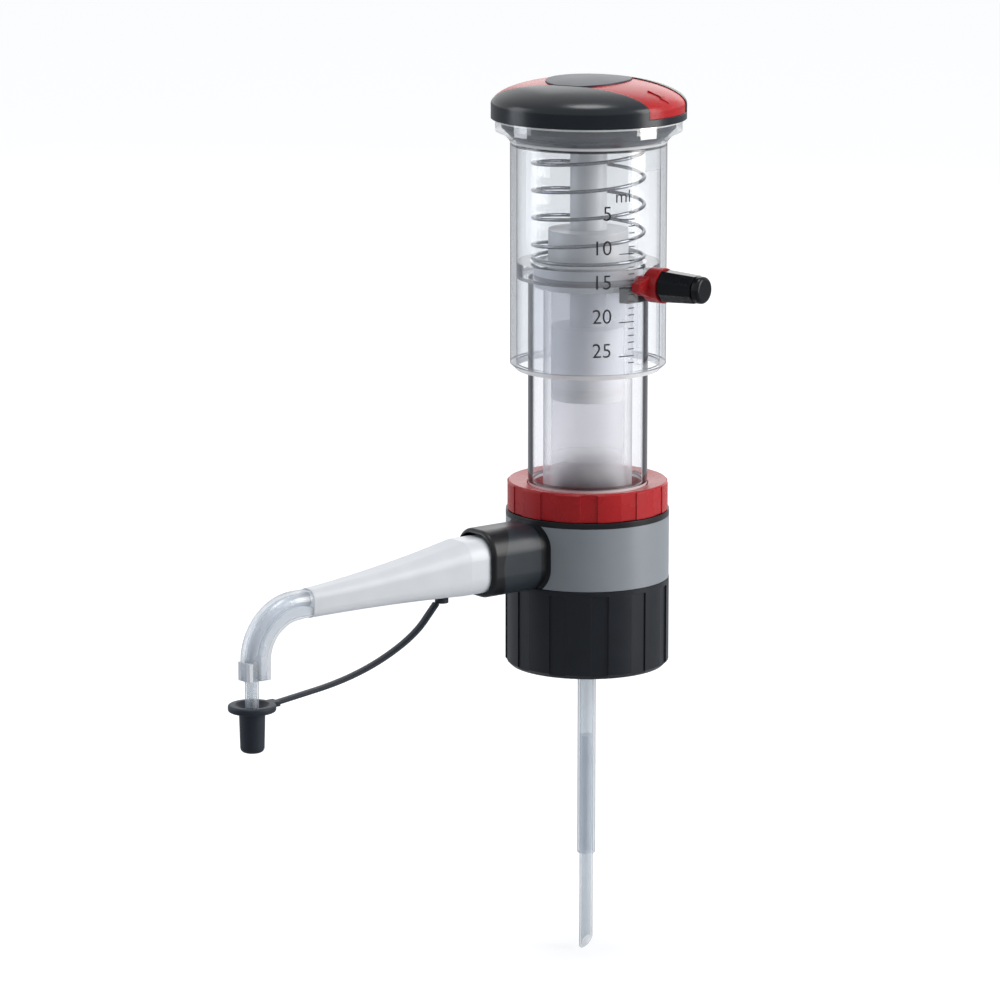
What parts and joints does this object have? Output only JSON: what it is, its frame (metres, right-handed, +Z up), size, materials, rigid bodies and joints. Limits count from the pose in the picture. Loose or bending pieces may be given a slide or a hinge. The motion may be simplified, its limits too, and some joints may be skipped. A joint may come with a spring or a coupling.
{
  "type": "bottle top dispenser",
  "caption": "Bottle top dispenser: screw collar, swivelling valve block with bent spout, glass cylinder and spring-returned graduated sleeve.",
  "frame": {"origin": "centre of the gasket's lower face, where the bottle's rim seats", "axes": "+Z up along the bottle neck's axis, the spout points along -X"},
  "size_m": [0.1738, 0.0769, 0.2909],
  "materials": {
    "black_plastic": "satin",
    "dark_grey_plastic": "satin",
    "red_plastic": "gloss",
    "grey_plastic": "satin",
    "white_plastic": "satin",
    "clear_plastic": "gloss",
    "frosted_glass": "satin",
    "clear_tube": "gloss",
    "steel": "satin",
    "rubber": "matte",
    "ceramic": "gloss"
  },
  "bodies": {
    "collar": {"threaded_collar": "black_plastic"},
    "valve_block": {"bottle_gasket": "white_plastic", "valve_core": "white_plastic", "cylinder_seal": "rubber", "housing_shell": "black_plastic", "front_band": "grey_plastic", "vent_seal": "rubber", "vent_cap": "black_plastic", "filling_valve_body": "white_plastic", "filling_tube_upper": "clear_tube", "discharge_valve_body": "white_plastic", "outlet_tube": "clear_tube", "spout": "white_plastic", "cap_tether": "rubber", "tether_anchor": "rubber", "cylinder": "frosted_glass", "guide_tube": "clear_plastic", "cylinder_head": "grey_plastic", "return_spring": "steel"},
    "locking_ring": {"locking_ring": "red_plastic"},
    "plunger": {"piston": "white_plastic", "piston_seal": "white_plastic", "piston_rod": "grey_plastic", "spring_cup": "dark_grey_plastic", "stroke_sleeve": "clear_plastic", "press_cover": "black_plastic", "press_plate": "red_plastic", "centre_disc": "dark_grey_plastic"},
    "volume_slider": {"volume_slider": "red_plastic", "stop_block": "dark_grey_plastic"},
    "volume_knob": {"volume_knob": "black_plastic", "clamp_screw": "steel"},
    "closure_cap": {"closure_cap": "rubber"},
    "filling_tube_lower": {"filling_tube_lower": "clear_tube"},
    "inlet_ball": {"inlet_ball": "ceramic"},
    "outlet_ball": {"outlet_ball": "ceramic"}
  },
  "joints": [
    {"name": "block_swivel", "type": "hinge", "parent": "collar", "child": "valve_block", "pos_m": [0, 0, 0.0035], "axis": [0, 0, 1], "continuous": true},
    {"name": "plunger_stroke", "type": "slide", "parent": "valve_block", "child": "plunger", "axis": [0, 0, 1], "range_m": [-0.03316, 0], "stiffness_N_per_m": 350, "springref_m": 0.03, "deforming": ["return_spring"]},
    {"name": "volume_slide", "type": "slide", "parent": "plunger", "child": "volume_slider", "axis": [0, 0, 1], "range_m": [-0.0221, 0]},
    {"name": "knob_turn", "type": "hinge", "parent": "volume_slider", "child": "volume_knob", "pos_m": [0, 0, 0.10395], "axis": [0.2588, -0.9659, 0], "range_deg": [0, 180]},
    {"name": "ring_turn", "type": "hinge", "parent": "valve_block", "child": "locking_ring", "pos_m": [0, 0, 0.0325], "axis": [0, 0, 1], "range_deg": [0, 50]},
    {"name": "cap_pull", "type": "slide", "parent": "valve_block", "child": "closure_cap", "axis": [0, 0, -1], "range_m": [0, 0.016], "deforming": ["cap_tether"]},
    {"name": "tube_extension", "type": "slide", "parent": "valve_block", "child": "filling_tube_lower", "axis": [0, 0, -1], "range_m": [-0.03, 0.032]},
    {"name": "inlet_ball_lift", "type": "slide", "parent": "valve_block", "child": "inlet_ball", "axis": [0, 0, 1], "range_m": [0, 0.0015]},
    {"name": "outlet_ball_lift", "type": "slide", "parent": "valve_block", "child": "outlet_ball", "axis": [-1, 0, 0], "range_m": [0, 0.0015], "stiffness_N_per_m": 10}
  ]
}
